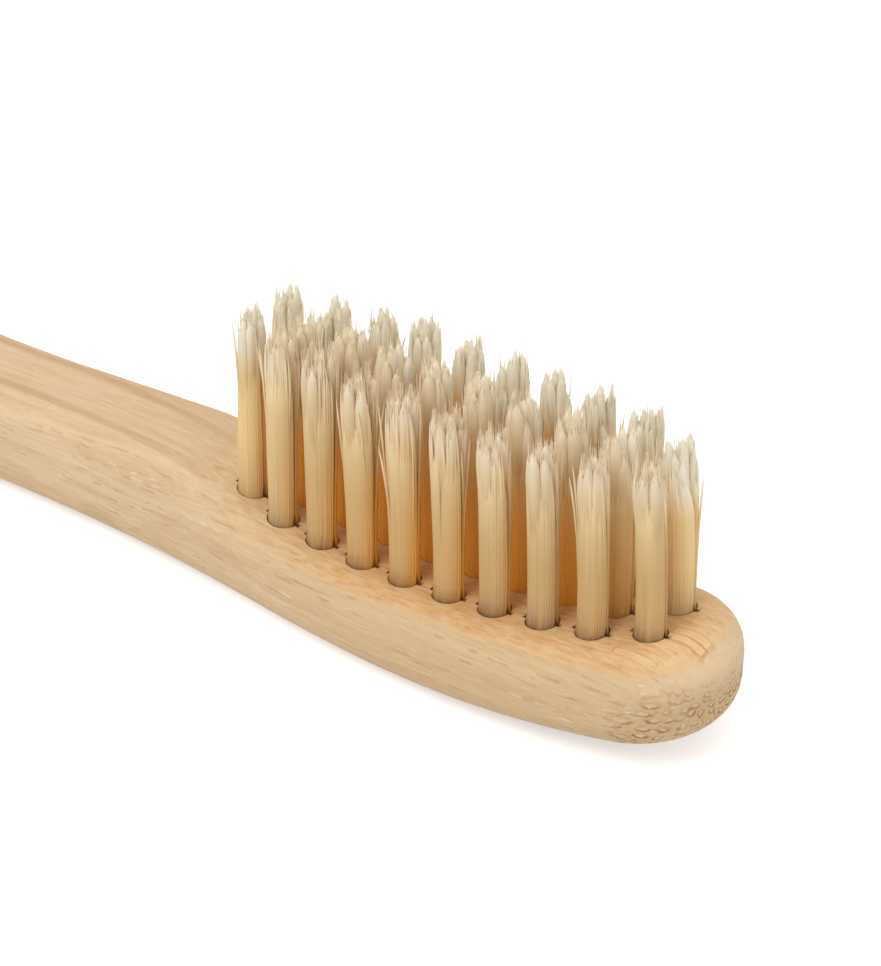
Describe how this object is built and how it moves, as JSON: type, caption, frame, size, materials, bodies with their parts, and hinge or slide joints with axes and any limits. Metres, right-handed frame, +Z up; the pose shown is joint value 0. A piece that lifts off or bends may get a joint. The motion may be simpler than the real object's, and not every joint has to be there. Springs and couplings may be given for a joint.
{
  "type": "manual toothbrush",
  "caption": "Straight bamboo-handled manual toothbrush with folded bristle tufts held by flat wire anchors in blind sockets in the head.",
  "frame": {"origin": "under the middle of the brush, on the plane that its flat back rests on", "axes": "+X along the handle from the butt to the head's tip, +Z up from the back along the bristles, +Y to the left seen from the butt with the bristles up"},
  "size_m": [0.18, 0.013, 0.0173],
  "materials": {
    "bamboo": "sanded bamboo, bare and matt, fine fibres along the handle",
    "bristle": "soft cream filaments, slightly see-through towards the tips",
    "anchor_wire": "plain drawn flat wire"
  },
  "bodies": {
    "root": {"handle": "bamboo", "tuft_right_01": "bristle", "tuft_right_02": "bristle", "tuft_right_03": "bristle", "tuft_right_04": "bristle", "tuft_right_05": "bristle", "tuft_right_06": "bristle", "tuft_right_07": "bristle", "tuft_right_08": "bristle", "tuft_right_09": "bristle", "tuft_right_10": "bristle", "tuft_middle_01": "bristle", "tuft_middle_02": "bristle", "tuft_middle_03": "bristle", "tuft_middle_04": "bristle", "tuft_middle_05": "bristle", "tuft_middle_06": "bristle", "tuft_middle_07": "bristle", "tuft_middle_08": "bristle", "tuft_left_01": "bristle", "tuft_left_02": "bristle", "tuft_left_03": "bristle", "tuft_left_04": "bristle", "tuft_left_05": "bristle", "tuft_left_06": "bristle", "tuft_left_07": "bristle", "tuft_left_08": "bristle", "tuft_left_09": "bristle", "tuft_left_10": "bristle", "anchor_right_01": "anchor_wire", "anchor_right_02": "anchor_wire", "anchor_right_03": "anchor_wire", "anchor_right_04": "anchor_wire", "anchor_right_05": "anchor_wire", "anchor_right_06": "anchor_wire", "anchor_right_07": "anchor_wire", "anchor_right_08": "anchor_wire", "anchor_right_09": "anchor_wire", "anchor_right_10": "anchor_wire", "anchor_middle_01": "anchor_wire", "anchor_middle_02": "anchor_wire", "anchor_middle_03": "anchor_wire", "anchor_middle_04": "anchor_wire", "anchor_middle_05": "anchor_wire", "anchor_middle_06": "anchor_wire", "anchor_middle_07": "anchor_wire", "anchor_middle_08": "anchor_wire", "anchor_left_01": "anchor_wire", "anchor_left_02": "anchor_wire", "anchor_left_03": "anchor_wire", "anchor_left_04": "anchor_wire", "anchor_left_05": "anchor_wire", "anchor_left_06": "anchor_wire", "anchor_left_07": "anchor_wire", "anchor_left_08": "anchor_wire", "anchor_left_09": "anchor_wire", "anchor_left_10": "anchor_wire"}
  },
  "joints": []
}
